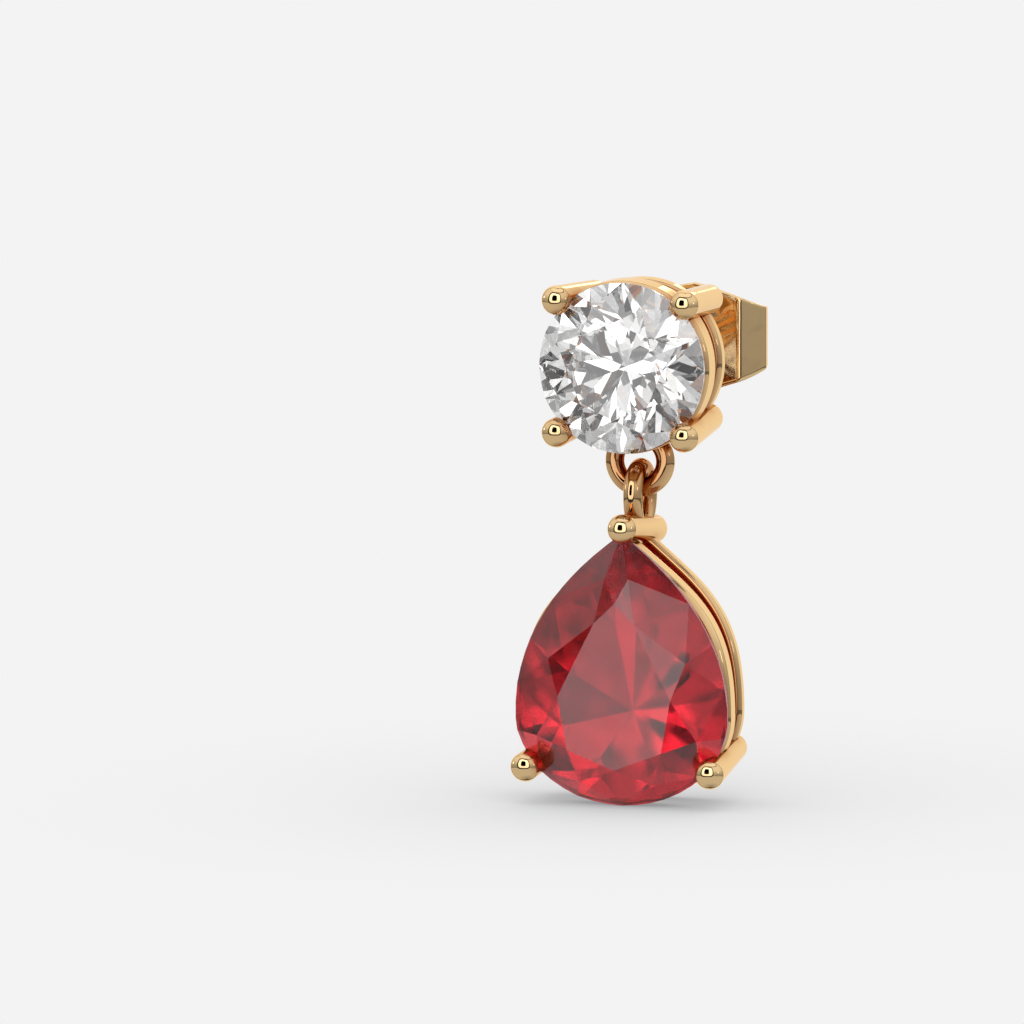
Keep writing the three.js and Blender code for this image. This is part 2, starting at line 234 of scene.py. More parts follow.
@dataclass(frozen=True)
class Piece:
    """A smooth metal piece: its name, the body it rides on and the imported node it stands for."""

    name: str
    body: Body
    node: str

    def make(self, grid: np.ndarray, wrap: Wrap, material: bpy.types.Material) -> bpy.types.Object:
        """Makes the piece from a grid of points in millimetres.

        Args:
            grid: points, rows by columns by 3, with depths counted from the girdle plane.
            wrap: the directions in which the grid closes on itself.
            material: the piece's finish.

        Returns:
            The object, at the origin, with its place in its mesh.
        """
        rows, columns = grid.shape[:2]
        wrap_rows, wrap_columns = wrap.value
        row = np.arange(rows if wrap_rows else rows - 1)[:, None]
        column = np.arange(columns if wrap_columns else columns - 1)[None]
        next_row, next_column = (row + 1) % rows, (column + 1) % columns
        corners = [row * columns + column, next_row * columns + column]
        corners += [next_row * columns + next_column, row * columns + next_column]
        faces = np.stack(corners, -1).reshape(-1, 4)
        points = (grid.reshape(-1, 3) + (0, GIRDLE_Y, 0)) * MM
        mesh = bpy.data.meshes.new(self.name)
        mesh.from_pydata(points, [], faces)
        work = bmesh.new()
        work.from_mesh(mesh)
        bmesh.ops.remove_doubles(work, verts=work.verts, dist=1e-8)
        bmesh.ops.dissolve_degenerate(work, edges=work.edges, dist=1e-9)
        bmesh.ops.recalc_face_normals(work, faces=work.faces)
        work.to_mesh(mesh)
        work.free()
        mesh.shade_smooth()
        mesh.materials.append(material)
        piece = bpy.data.objects.new(self.name, mesh)
        bpy.context.scene.collection.objects.link(piece)
        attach(piece, self.body.value)
        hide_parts(self.node)
        log.info("%s: %d faces on %s", self.name, len(mesh.polygons), self.body.value)
        return piece


@dataclass(frozen=True)
class ProngWire:
    """A round wire with a slightly flattened ball for a nose, and a flat back whose edge is rounded."""

    radius: float = 0.54
    nose_height: float = 0.4
    back_round: float = 0.2
    sides: int = 56
    nose_steps: int = 20

    def grid(self, nose: Sequence[float], back: Sequence[float]) -> np.ndarray:
        """The wire's surface: a quarter ellipse, a line and a rounded corner, turned round the wire's axis.

        Args:
            nose: the centre of the ball.
            back: the middle of the flat end.

        Returns:
            A grid of points, profile by sides.
        """
        start, end = np.array(nose, float), np.array(back, float)
        length = float(np.linalg.norm(end - start))
        t = np.linspace(0, math.pi / 2, self.nose_steps + 1)
        ball = np.stack([self.radius * np.sin(t), -self.nose_height * np.cos(t)], -1)
        ball[0, 0] = 0
        corners = [(self.radius, 0), (self.radius, length), (0, length)]
        rear = rounded(corners, (0, self.back_round, 0), closed=False, steps=8)
        return turned(np.concatenate([ball, rear[1:]]), start, end - start, self.sides)


@dataclass(frozen=True)
class PearOutline:
    """The line that the pear's rails follow: two Bezier shoulders and a half ellipse for the belly."""

    half_width: float = 4.05
    shoulder: float = 6.7
    belly: float = 3.3
    # Where the curve's middle control points lie, as shares of the half width and the shoulder
    apex_pull: tuple[float, float] = (0.58, 0.7)
    waist_pull: float = 0.6
    dense: int = 1200

    def side(self) -> np.ndarray:
        """The right half from the apex to the bottom, heights counted from the bottom.

        The shoulder is the cubic Bezier curve of four control points, and the belly is
        (half_width * cos t, belly * (1 - sin t)).

        Returns:
            An array of points (x, height), n by 2.
        """
        w = self.half_width
        out, high = self.apex_pull
        controls = [(0, self.belly + self.shoulder), (out * w, self.belly + high * self.shoulder)]
        controls += [(w, self.belly + self.waist_pull * self.shoulder), (w, self.belly)]
        t = np.linspace(0, 1, self.dense)[:, None]
        weights = ((1 - t) ** 3, 3 * t * (1 - t) ** 2, 3 * t**2 * (1 - t), t**3)
        shoulder = sum(k * np.array(c, float) for k, c in zip(weights, controls))
        angle = t[1:] * math.pi / 2
        belly = np.concatenate([w * np.cos(angle), self.belly * (1 - np.sin(angle))], 1)
        return np.concatenate([shoulder, belly])

    def loop(self, share: float, rise: float, inset: float, steps: int) -> np.ndarray:
        """The outline scaled about its widest line and then moved in along its normals.

        Args:
            share: the scale sideways and of the belly.
            rise: the scale of the shoulder's height.
            inset: how far the loop lies inside the scaled outline.
            steps: the number of points on each half.

        Returns:
            A closed loop of points (x, z), from the apex over the right side and back.
        """
        centre = np.array([0, self.belly])
        half = self.side() - centre
        heights = np.where(half[:, 1] > 0, rise, share)
        half = centre + half * np.stack([np.full(len(half), share), heights], -1)
        along = unit(np.gradient(half, axis=0))
        moved = half + inset * np.stack([along[:, 1], -along[:, 0]], -1)
        inside = int(np.argmax(moved[:, 0] >= -1e-9))
        kept = moved[inside:]
        run = np.concatenate([[0], np.cumsum(np.linalg.norm(np.diff(kept, axis=0), axis=1))])
        at = np.linspace(0, run[-1], steps)
        right = np.stack([np.interp(at, run, kept[:, k]) for k in (0, 1)], -1)
        right[[0, -1], 0] = 0
        left = right[1:-1][::-1] * (-1, 1)
        return np.concatenate([right, left])


@dataclass(frozen=True)
class Polish:
    """The gold: a mirror polish with faint waves, fine scratches, a slightly softer lustre in places and
    painted shade in its crevices.
    """

    color: Color = (0.94, 0.67, 0.35, 1)
    cloud_color: Color = (0.92, 0.645, 0.335, 1)
    roughness: float = 0.045
    softer: float = 0.1
    scratch_scale: float = 900
    cloud_scale: float = 700
    scratch_height: float = 0.0000012
    edge_tint: Color = (1, 0.86, 0.66, 1)
    # Painted shade: the deep copper that the colour turns to in crevices, how far the occlusion looks, how
    # sharply it darkens and how many rays it takes
    crevice_shade_color: Color = (0.42, 0.13, 0.035, 1)
    crevice_shade_reach: float = 0.003
    crevice_shade_power: float = 2.2
    crevice_shade_samples: int = 8

    def material(self) -> bpy.types.Material:
        """Builds the metal from its colour, painted shade in its crevices and the marks of handling.

        Returns:
            The finished material.
        """
        gold = bpy.data.materials.new("polished_gold")
        graph = Graph.of(gold)
        wear = graph.wear(self.scratch_scale, self.cloud_scale)
        shader = graph.shader()
        shader.inputs["Metallic"].default_value = 1
        shader.inputs["Specular Tint"].default_value = self.edge_tint
        tint = graph.mix(wear.outputs["Cloud"], self.color, self.cloud_color)
        # Painted shade: the colour turns a deep copper where nearby metal closes in, standing in for the
        # darker reflections of gold in gold there
        openness = graph.openness(self.crevice_shade_reach, self.crevice_shade_samples)
        unshaded = graph.math("POWER", openness, self.crevice_shade_power)
        graph.link(graph.mix(unshaded, self.crevice_shade_color, tint), shader.inputs["Base Color"])
        lustre = graph.ramp(wear.outputs["Lustre"], self.roughness, self.softer)
        graph.link(lustre, shader.inputs["Roughness"])
        graph.link(graph.bump(wear.outputs["Scratches"], self.scratch_height), shader.inputs["Normal"])
        return gold


@dataclass(frozen=True)
class Gem:
    """A cut stone: the colour that light takes on in it, its refraction and how clear it is."""

    name: str
    color: Color
    veil: Color
    ior: float
    roughness: float
    haze: float
    coat: float
    cloud_scale: float
    scratch_scale: float = 1500

    def material(self) -> bpy.types.Material:
        """Builds the stone from its colour and veil, its refraction and the marks of handling.

        Returns:
            The finished material.
        """
        stone = bpy.data.materials.new(self.name)
        graph = Graph.of(stone)
        wear = graph.wear(self.scratch_scale, self.cloud_scale)
        shader = graph.shader()
        shader.inputs["Transmission Weight"].default_value = 1
        shader.inputs["IOR"].default_value = self.ior
        shader.inputs["Coat Weight"].default_value = self.coat
        shader.inputs["Coat Roughness"].default_value = 0
        shader.inputs["Coat IOR"].default_value = 1.5
        graph.link(graph.mix(wear.outputs["Cloud"], self.color, self.veil), shader.inputs["Base Color"])
        haze = graph.ramp(wear.outputs["Lustre"], self.roughness, self.haze)
        graph.link(haze, shader.inputs["Roughness"])
        return stone


class Graph:
    """Builds a node tree with short calls."""

    def __init__(self, tree: bpy.types.NodeTree) -> None:
        """Works on a tree."""
        self.tree = tree

    @classmethod
    def of(cls, owner: bpy.types.Material | bpy.types.World) -> "Graph":
        """Starts an empty tree on a material or the world."""
        owner.use_nodes = True
        owner.node_tree.nodes.clear()
        return cls(owner.node_tree)

    def node(self, kind: str) -> bpy.types.Node:
        """A new node of a kind, named without its prefix."""
        return self.tree.nodes.new("ShaderNode" + kind)

    def link(self, source: bpy.types.NodeSocket, target: bpy.types.NodeSocket) -> None:
        """Joins two sockets."""
        self.tree.links.new(source, target)

    def feed(self, value: object, socket: bpy.types.NodeSocket) -> None:
        """Links a socket to another, or sets it to a plain value.

        Args:
            value: a socket or a plain value.
            socket: the socket to feed.
        """
        if isinstance(value, bpy.types.NodeSocket):
            self.link(value, socket)
        else:
            socket.default_value = value

    def math(self, operation: str, *values: object) -> bpy.types.NodeSocket:
        """The result of a Math node.

        Args:
            operation: the node's operation.
            values: its inputs, sockets or numbers.

        Returns:
            The node's output.
        """
        node = self.node("Math")
        node.operation = operation
        for value, socket in zip(values, node.inputs):
            self.feed(value, socket)
        return node.outputs[0]

    def mix(self, factor: object, first: object, second: object) -> bpy.types.NodeSocket:
        """A colour between two colours.

        Args:
            factor: how much of the second, from 0 to 1.
            first: the colour at 0.
            second: the colour at 1.

        Returns:
            The mixed colour.
        """
        node = self.node("Mix")
        node.data_type = "RGBA"
        self.feed(factor, node.inputs[0])
        self.feed(first, node.inputs[6])
        self.feed(second, node.inputs[7])
        return node.outputs[2]

    def mix_value(self, factor: object, first: object, second: object) -> bpy.types.NodeSocket:
        """A value between two values.

        Args:
            factor: how much of the second, from 0 to 1.
            first: the value at 0.
            second: the value at 1.

        Returns:
            The mixed value.
        """
        node = self.node("Mix")
        for value, socket in zip((factor, first, second), (node.inputs[0], node.inputs[2], node.inputs[3])):
            self.feed(value, socket)
        return node.outputs[0]

    def ramp(self, value: object, low: float, high: float) -> bpy.types.NodeSocket:
        """A value from 0 to 1 spread between two numbers.

        Args:
            value: the value from 0 to 1.
            low: the number at 0.
            high: the number at 1.

        Returns:
            The number between them.
        """
        node = self.node("MapRange")
        self.feed(value, node.inputs["Value"])
        node.inputs["To Min"].default_value = low
        node.inputs["To Max"].default_value = high
        return node.outputs[0]

    def step(self, value: object, edge: float, soft: float) -> bpy.types.NodeSocket:
        """A smooth step from 0 to 1 as a value passes an edge.

        Args:
            value: the value to look at.
            edge: where the step is half way.
            soft: how far before and after the edge it runs.

        Returns:
            The step's height.
        """
        node = self.node("MapRange")
        node.interpolation_type = "SMOOTHSTEP"
        self.feed(value, node.inputs["Value"])
        node.inputs["From Min"].default_value = edge - soft
        node.inputs["From Max"].default_value = edge + soft
        return node.outputs[0]

    def noise(
        self, scale: object, detail: float, stretch: Sequence[float] = (1, 1, 1)
    ) -> bpy.types.NodeSocket:
        """Noise on object coordinates, in waves to the metre.

        Args:
            scale: waves to the metre.
            detail: how many finer layers it has.
            stretch: a factor on the scale along each axis.

        Returns:
            The noise, from 0 to 1.
        """
        place = self.node("TexCoord")
        mapping = self.node("Mapping")
        mapping.inputs["Scale"].default_value = stretch
        self.link(place.outputs["Object"], mapping.inputs["Vector"])
        node = self.node("TexNoise")
        self.link(mapping.outputs[0], node.inputs["Vector"])
        self.feed(scale, node.inputs["Scale"])
        node.inputs["Detail"].default_value = detail
        return node.outputs["Fac"]

    def bump(self, height: bpy.types.NodeSocket, distance: float) -> bpy.types.NodeSocket:
        """A normal from a height.

        Args:
            height: the height, from 0 to 1.
            distance: how high 1 is, in metres.

        Returns:
            The normal.
        """
        node = self.node("Bump")
        node.inputs["Distance"].default_value = distance
        self.link(height, node.inputs["Height"])
        return node.outputs[0]

    def openness(self, reach: float, samples: int) -> bpy.types.NodeSocket:
        """How open a point is to its surroundings within a reach, from 0 to 1.

        Args:
            reach: how far it looks, in metres.
            samples: how many rays it takes.

        Returns:
            The openness.
        """
        node = self.node("AmbientOcclusion")
        node.samples = samples
        node.inputs["Distance"].default_value = reach
        return node.outputs["AO"]

    def wear(self, scratch_scale: float, cloud_scale: float) -> bpy.types.Node:
        """A node that places the marks of handling.

        Args:
            scratch_scale: the scratches' waves to the metre.
            cloud_scale: the cloud's.

        Returns:
            The node, with the group's outputs.
        """
        node = self.node("Group")
        node.node_tree = handling_wear()
        node.inputs["Scratch Scale"].default_value = scratch_scale
        node.inputs["Cloud Scale"].default_value = cloud_scale
        return node

    def shader(self) -> bpy.types.Node:
        """The Principled shader, joined to the material's output.

        Returns:
            The shader's node.
        """
        node = self.node("BsdfPrincipled")
        output = self.node("OutputMaterial")
        self.link(node.outputs[0], output.inputs["Surface"])
        return node


def handling_wear() -> bpy.types.NodeTree:
    """The group of marks that handling leaves on metal and stone.

    Returns:
        A group with the inputs Scratch Scale and Cloud Scale and the outputs Scratches (a height of fine
        lines), Lustre (a mask of duller spots) and Cloud (a mask of slow change), made once.
    """
    name = "handling_wear"
    if name in bpy.data.node_groups:
        return bpy.data.node_groups[name]
    tree = bpy.data.node_groups.new(name, "ShaderNodeTree")
    for label in ("Scratch Scale", "Cloud Scale"):
        tree.interface.new_socket(label, in_out="INPUT", socket_type="NodeSocketFloat")
    for label in ("Scratches", "Lustre", "Cloud"):
        tree.interface.new_socket(label, in_out="OUTPUT", socket_type="NodeSocketFloat")
    graph = Graph(tree)
    scratch_scale, cloud_scale = tree.nodes.new("NodeGroupInput").outputs[:2]
    outputs = tree.nodes.new("NodeGroupOutput")
    lengthways = graph.noise(scratch_scale, 2, (1, 0.08, 1))
    crossways = graph.noise(scratch_scale, 2, (0.1, 1, 1))
    lines = graph.math("MAXIMUM", lengthways, crossways)
    graph.link(graph.step(lines, 0.6, 0.15), outputs.inputs["Scratches"])
    graph.link(graph.step(graph.noise(scratch_scale, 4), 0.62, 0.12), outputs.inputs["Lustre"])
    graph.link(graph.step(graph.noise(cloud_scale, 3), 0.5, 0.25), outputs.inputs["Cloud"])
    return tree


@dataclass(frozen=True)
class Stud:
    """The basket of the round stone with its prongs, rails, bridge, ring and ear post, all soldered."""

    prong: ProngWire = ProngWire()
    spread: float = 2.44
    prong_front: float = -0.25
    prong_back: float = 3.85
    lean: float = 0.26
    seat_outer: float = 3.2
    seat_front: float = 0.2
    seat_back: float = 1.3
    seat_corner: float = 0.16
    seat_bevel: float = 0.42
    base_outer: float = 3.03
    base_front: float = 2.4
    base_back: float = 3.1
    rail_wide: float = 0.5
    # The radius of each rounded corner of the rails' sections
    seat_round: tuple[float, ...] = (0.05, 0.18, 0.14, 0.14, 0.05)
    base_round: tuple[float, ...] = (0.22, 0.14, 0.14, 0.2)
    rail_sides: int = 192
    bridge_front: float = 3.2
    bridge_deep: float = 0.55
    bridge_wide: float = 0.8
    bridge_round: float = 0.12
    bridge_steps: int = 12
    post_radius: float = 0.4
    post_end: float = 13.4
    post_sunk: float = 0.3
    post_sides: int = 48
    post_round: tuple[float, ...] = (0, 0.02, 0.02, 0.2, 0.06, 0.06, 0.06, 0.06, 0.3, 0)
    fillet: float = 0.22
    fillet_rise: float = 0.2
    notch_radius: float = 0.31
    notch_length: float = 0.35
    notch_from_end: float = 1.0
    ring_radius: float = 0.965
    ring_wire: float = 0.345
    ring_drop: float = 3.7

    def piece(self, name: str) -> Piece:
        """A piece of this solid."""
        return Piece(name, Body.STUD, "stud_setting")

    def prongs(self, gold: bpy.types.Material) -> None:
        """Four prongs that lean in a little towards their back ends.

        Args:
            gold: the metal's material.
        """
        end = self.spread - self.lean
        for height, z in (("upper", 1), ("lower", -1)):
            for side, x in (("right", 1), ("left", -1)):
                nose = (x * self.spread, self.prong_front, z * self.spread)
                grid = self.prong.grid(nose, (x * end, self.prong_back, z * end))
                self.piece(f"stud_prong_{height}_{side}").make(grid, Wrap.COLUMNS, gold)

    def rail(self, name: str, section: np.ndarray, gold: bpy.types.Material) -> None:
        """A ring round the Y axis with a closed section of radii and depths."""
        grid = turned(section, np.zeros(3), BACKWARDS, self.rail_sides)
        self.piece(name).make(grid, Wrap.BOTH, gold)

    def rails(self, gold: bpy.types.Material) -> None:
        """The seat rail, bevelled inside to carry the stone, and the base rail behind it.

        Args:
            gold: the metal's material.
        """
        outer = self.seat_outer
        inner = outer - self.rail_wide
        front, back, corner = self.seat_front, self.seat_back, self.seat_corner
        seat = [(outer - corner, front), (outer, front + corner), (outer, back), (inner, back)]
        seat += [(inner, front + self.seat_bevel)]
        self.rail("stud_seat_rail", rounded(seat, self.seat_round, closed=True), gold)
        outer = self.base_outer
        inner = outer - self.rail_wide
        front, back = self.base_front, self.base_back
        base = [(outer, front), (outer, back), (inner, back), (inner, front)]
        self.rail("stud_base_rail", rounded(base, self.base_round, closed=True), gold)

    def bridge(self, gold: bpy.types.Material) -> None:
        """Two crossed bars with rounded edges, from prong to prong, that carry the post.

        Args:
            gold: the metal's material.
        """
        half = math.sqrt(2) * (self.spread - self.lean)
        wide = self.bridge_wide / 2
        deep = self.bridge_deep / 2
        corners = [(-wide, -deep), (wide, -deep), (wide, deep), (-wide, deep)]
        section = rounded(corners, (self.bridge_round,) * 4, closed=True)
        for name, side in (("rising", 1), ("falling", -1)):
            along = unit(np.array([side, 0, 1.0]))
            run = np.linspace(-half, half, self.bridge_steps)[:, None]
            path = run * along + (0, self.bridge_front + deep, 0)
            across = np.broadcast_to(np.cross(along, BACKWARDS), path.shape)
            depth = np.broadcast_to(BACKWARDS, path.shape)
            grid = capped(swept(path, across, depth, section))
            self.piece(f"stud_bridge_{name}").make(grid, Wrap.COLUMNS, gold)

    def post(self, gold: bpy.types.Material) -> None:
        """The ear post: a rod with a rounded tip, a notch before it and a solder fillet at its root.

        Args:
            gold: the metal's material.
        """
        r = self.post_radius
        n = self.notch_radius
        back = self.post_end - self.notch_from_end
        front = back - self.notch_length
        slope = r - n
        root = self.bridge_front + self.bridge_deep
        foot = r + self.fillet
        corners = [(0, root - self.post_sunk), (foot, root - self.post_sunk), (foot, root)]
        corners += [(r, root + self.fillet_rise), (r, front - slope), (n, front), (n, back)]
        corners += [(r, back + slope), (r, self.post_end), (0, self.post_end)]
        profile = rounded(corners, self.post_round, closed=False)
        grid = turned(profile, np.zeros(3), BACKWARDS, self.post_sides)
        self.piece("ear_post").make(grid, Wrap.COLUMNS, gold)

    def ring(self, gold: bpy.types.Material) -> None:
        """The ring under the basket: a circle of wire carried round a circle in the XZ plane.

        Args:
            gold: the metal's material.
        """
        out = np.insert(circle(1, RING_STEPS), 1, 0, axis=1)
        path = out * self.ring_radius + (0, RING_DEPTH, -self.ring_drop)
        depth = np.broadcast_to(BACKWARDS, path.shape)
        grid = swept(path, out, depth, circle(self.ring_wire, WIRE_SIDES))
        self.piece("stud_ring").make(grid, Wrap.BOTH, gold)

    def build(self, gold: bpy.types.Material) -> None:
        """Makes every piece of the stud.

        Args:
            gold: the metal's material.
        """
        self.prongs(gold)
        self.rails(gold)
        self.bridge(gold)
        self.post(gold)
        self.ring(gold)


@dataclass(frozen=True)
class Drop:
    """The basket of the pear stone with its prongs, rails and the bail that hangs in the ring."""

    prong: ProngWire = ProngWire()
    outline: PearOutline = PearOutline()
    past_apex: float = 0.17
    apex_back: float = 4.1
    apex_lean: float = 0.49
    low_out: float = 3.52
    low_high: float = 1.34
    low_front: float = -0.6
    low_back: float = 3.4
    low_lean_in: float = 0.27
    low_lean_up: float = 0.53
    seat_share: float = 0.992
    seat_rise: float = 0.985
    seat_front: float = 0.22
    seat_back: float = 1.15
    base_share: float = 0.948
    base_rise: float = 0.99
    base_front: float = 2.3
    base_back: float = 2.9
    rail_wide: float = 0.48
    # The radius of each rounded corner of the rails' sections
    seat_round: tuple[float, ...] = (0.05, 0.22, 0.13, 0.13, 0.05)
    base_round: tuple[float, ...] = (0.2, 0.13, 0.13, 0.18)
    rail_points: int = 150
    seat_corner: float = 0.2
    seat_bevel: float = 0.4
    bail_radius: float = 0.95
    bail_wire: float = 0.35
    bail_middle: float = -4.89
    bail_foot: float = 1.2

    def piece(self, name: str) -> Piece:
        """A piece of this solid."""
        return Piece(name, Body.DROP, "drop_setting")

    def apex_height(self, depth: np.ndarray | float) -> np.ndarray | float:
        """The height of the apex prong's axis at a depth."""
        top = PEAR_BOTTOM + self.outline.belly + self.outline.shoulder + self.past_apex
        return top - self.apex_lean * depth / self.apex_back

    def prongs(self, gold: bpy.types.Material) -> None:
        """The prong over the apex and the two low prongs.

        Args:
            gold: the metal's material.
        """
        back = (0, self.apex_back, self.apex_height(self.apex_back))
        grid = self.prong.grid((0, 0, self.apex_height(0)), back)
        self.piece("drop_prong_apex").make(grid, Wrap.COLUMNS, gold)
        low = PEAR_BOTTOM + self.low_high
        for name, side in (("right", 1), ("left", -1)):
            back = (side * (self.low_out - self.low_lean_in), self.low_back, low + self.low_lean_up)
            grid = self.prong.grid((side * self.low_out, self.low_front, low), back)
            self.piece(f"drop_prong_{name}").make(grid, Wrap.COLUMNS, gold)

    def rail(
        self, name: str, share: float, rise: float, section: np.ndarray, gold: bpy.types.Material
    ) -> None:
        """A rail that follows the pear's outline, with a closed section of insets and depths.

        Args:
            name: the piece's name.
            share: the outline's scale sideways and of the belly.
            rise: the scale of the shoulder's height.
            section: pairs of an inset and a depth.
            gold: the metal's material.
        """
        columns = []
        for inset, depth in section:
            x, z = self.outline.loop(share, rise, inset, self.rail_points).T
            columns.append(np.stack([x, np.full(len(x), depth), z + PEAR_BOTTOM], -1))
        self.piece(name).make(np.stack(columns, 1), Wrap.BOTH, gold)

    def rails(self, gold: bpy.types.Material) -> None:
        """The seat rail, bevelled inside to carry the stone, and the base rail behind it.

        Args:
            gold: the metal's material.
        """
        front, back, wide = self.seat_front, self.seat_back, self.rail_wide
        corner = self.seat_corner
        seat = [(corner, front), (0, front + corner), (0, back), (wide, back)]
        seat += [(wide, front + self.seat_bevel)]
        section = rounded(seat, self.seat_round, closed=True, steps=5)
        self.rail("drop_seat_rail", self.seat_share, self.seat_rise, section, gold)
        front, back = self.base_front, self.base_back
        base = [(0, front), (0, back), (wide, back), (wide, front)]
        section = rounded(base, self.base_round, closed=True, steps=5)
        self.rail("drop_base_rail", self.base_share, self.base_rise, section, gold)

    def bail(self, gold: bpy.types.Material) -> None:
        """A wire bent to an oval: radius * cos t deep, and radius or, below, foot * sin t high.

        Args:
            gold: the metal's material.
        """
        t = np.linspace(0, FULL_TURN, RING_STEPS, endpoint=False)
        high = np.where(np.sin(t) > 0, self.bail_radius, self.bail_foot) * np.sin(t)
        deep = RING_DEPTH + self.bail_radius * np.cos(t)
        path = np.stack([np.zeros_like(t), deep, self.bail_middle + high], -1)
        along = unit(np.roll(path, -1, 0) - np.roll(path, 1, 0))
        across = np.broadcast_to(np.array([1.0, 0, 0]), path.shape)
        out = np.cross(across, along)
        grid = swept(path, across, out, circle(self.bail_wire, WIRE_SIDES))
        self.piece("drop_bail").make(grid, Wrap.BOTH, gold)

    def build(self, gold: bpy.types.Material) -> None:
        """Makes every piece of the drop.

        Args:
            gold: the metal's material.
        """
        self.prongs(gold)
        self.rails(gold)
        self.bail(gold)


@dataclass(frozen=True)
class FrictionBack:
    """The butterfly: a strip of sheet whose wings curl back and in to the post, and a collared hole."""

    front: float = 9.05
    sheet: float = 0.22
    hole: float = 0.45
    collar_wall: float = 0.25
    collar_length: float = 0.4
    collar_proud: float = 0.02
    collar_round: float = 0.06
    collar_sides: int = 64
    sheet_round: float = 0.07
    end_thickness: float = 0.5
    strip_steps: int = 260
    # Over how many steps on each side the bends and the heights are smoothed
    bend_smoothing: int = 5
    height_smoothing: int = 20
    # From the strip's middle on: how far it runs, in millimetres, and how much it turns there, in degrees
    bends: tuple[tuple[float, float], ...] = (
        (1.63, 0), (0.12, 23), (0.84, 40), (0.3, 35), (0.6, 10), (0.5, 62), (0.72, 22), (0.5, 60),
        (0.58, 18),
    )
    # Half the strip's height at shares of its run
    heights: tuple[tuple[float, float], ...] = (
        (0, 2.06), (0.1, 1.96), (0.19, 1.77), (0.3, 1.57), (0.38, 1.38), (0.45, 1.22), (0.5, 1.15),
        (0.6, 1.1), (0.8, 1.02), (1, 0.85),
    )

    def piece(self, name: str) -> Piece:
        """A piece of this solid."""
        return Piece(name, Body.BACK, "friction_back")

    def run(self) -> tuple[np.ndarray, np.ndarray]:
        """The right half of the strip's middle line and its directions.

        The direction's angle is the running sum of the bends, each turned evenly along its length, and the
        line is the sum of the small steps (cos angle, sin angle).

        Returns:
            The line's points (x, depth) and its unit directions.
        """
        lengths, turns = np.array(self.bends).T
        ends = np.concatenate([[0], np.cumsum(lengths)])
        angles = np.radians(np.concatenate([[0], np.cumsum(turns)]))
        s = np.linspace(0, ends[-1], self.strip_steps)
        angle = smoothed(np.interp(s, ends, angles), self.bend_smoothing, mode="edge")
        along = np.stack([np.cos(angle), np.sin(angle)], -1)
        steps = along * (s[1] - s[0])
        line = np.concatenate([[[0, 0]], np.cumsum((steps[1:] + steps[:-1]) / 2, axis=0)])
        return line, along

    def strip(self, gold: bpy.types.Material) -> None:
        """Both wings: the sheet's rounded section, as tall as the strip is there, carried along its line.

        Args:
            gold: the metal's material.
        """
        line, along = self.run()
        share = np.linspace(0, 1, len(line))
        at, tall = np.array(self.heights).T
        half = np.interp(share, at, tall)
        half = smoothed(half, self.height_smoothing, mode="reflect", reflect_type="odd")
        line = np.concatenate([line[:0:-1] * (-1, 1), line])
        along = np.concatenate([along[:0:-1] * (1, -1), along])
        half = np.concatenate([half[:0:-1], half])
        thick = self.sheet / 2
        corners = [(-thick, -1), (thick, -1), (thick, 1), (-thick, 1)]
        plain = rounded(corners, (self.sheet_round,) * 4, closed=True, steps=4)
        section = np.broadcast_to(plain, (len(line),) + plain.shape).copy()
        section[..., 1] += np.sign(plain[:, 1]) * (half[:, None] - 1)
        section[[0, -1]] *= (self.end_thickness, 1)
        path = np.stack([line[:, 0], line[:, 1] + self.front + thick, np.zeros(len(line))], -1)
        across = np.stack([-along[:, 1], along[:, 0], np.zeros(len(line))], -1)
        up = np.broadcast_to(np.array([0, 0, 1.0]), path.shape)
        grid = capped(swept(path, across, up, section))
        self.piece("back_wings").make(grid, Wrap.COLUMNS, gold)

    def collar(self, gold: bpy.types.Material) -> None:
        """The collar round the hole, a closed section turned round the post's axis.

        Args:
            gold: the metal's material.
        """
        inner, outer = self.hole, self.hole + self.collar_wall
        back = self.front + self.sheet + self.collar_length
        front = self.front - self.collar_proud
        section = [(inner, front), (outer, front), (outer, back), (inner, back)]
        profile = rounded(section, (self.collar_round,) * 4, closed=True)
        grid = turned(profile, np.zeros(3), BACKWARDS, self.collar_sides)
        self.piece("back_collar").make(grid, Wrap.BOTH, gold)

    def build(self, gold: bpy.types.Material) -> None:
        """Makes every piece of the friction back."""
        self.strip(gold)
        self.collar(gold)


@dataclass(frozen=True)
class LightWindow:
    """A part of the studio with its own brightness: its middle and half sizes in degrees from the earring.

    Azimuth is counted from the camera to its right, and elevation from the horizon. Where the window has a
    foot strength, its light changes from that to its strength on the way up.
    """

    azimuth: float
    elevation: float
    half_width: float
    half_height: float
    strength: float
    foot_strength: float | None = None
    soft: float = 0.08


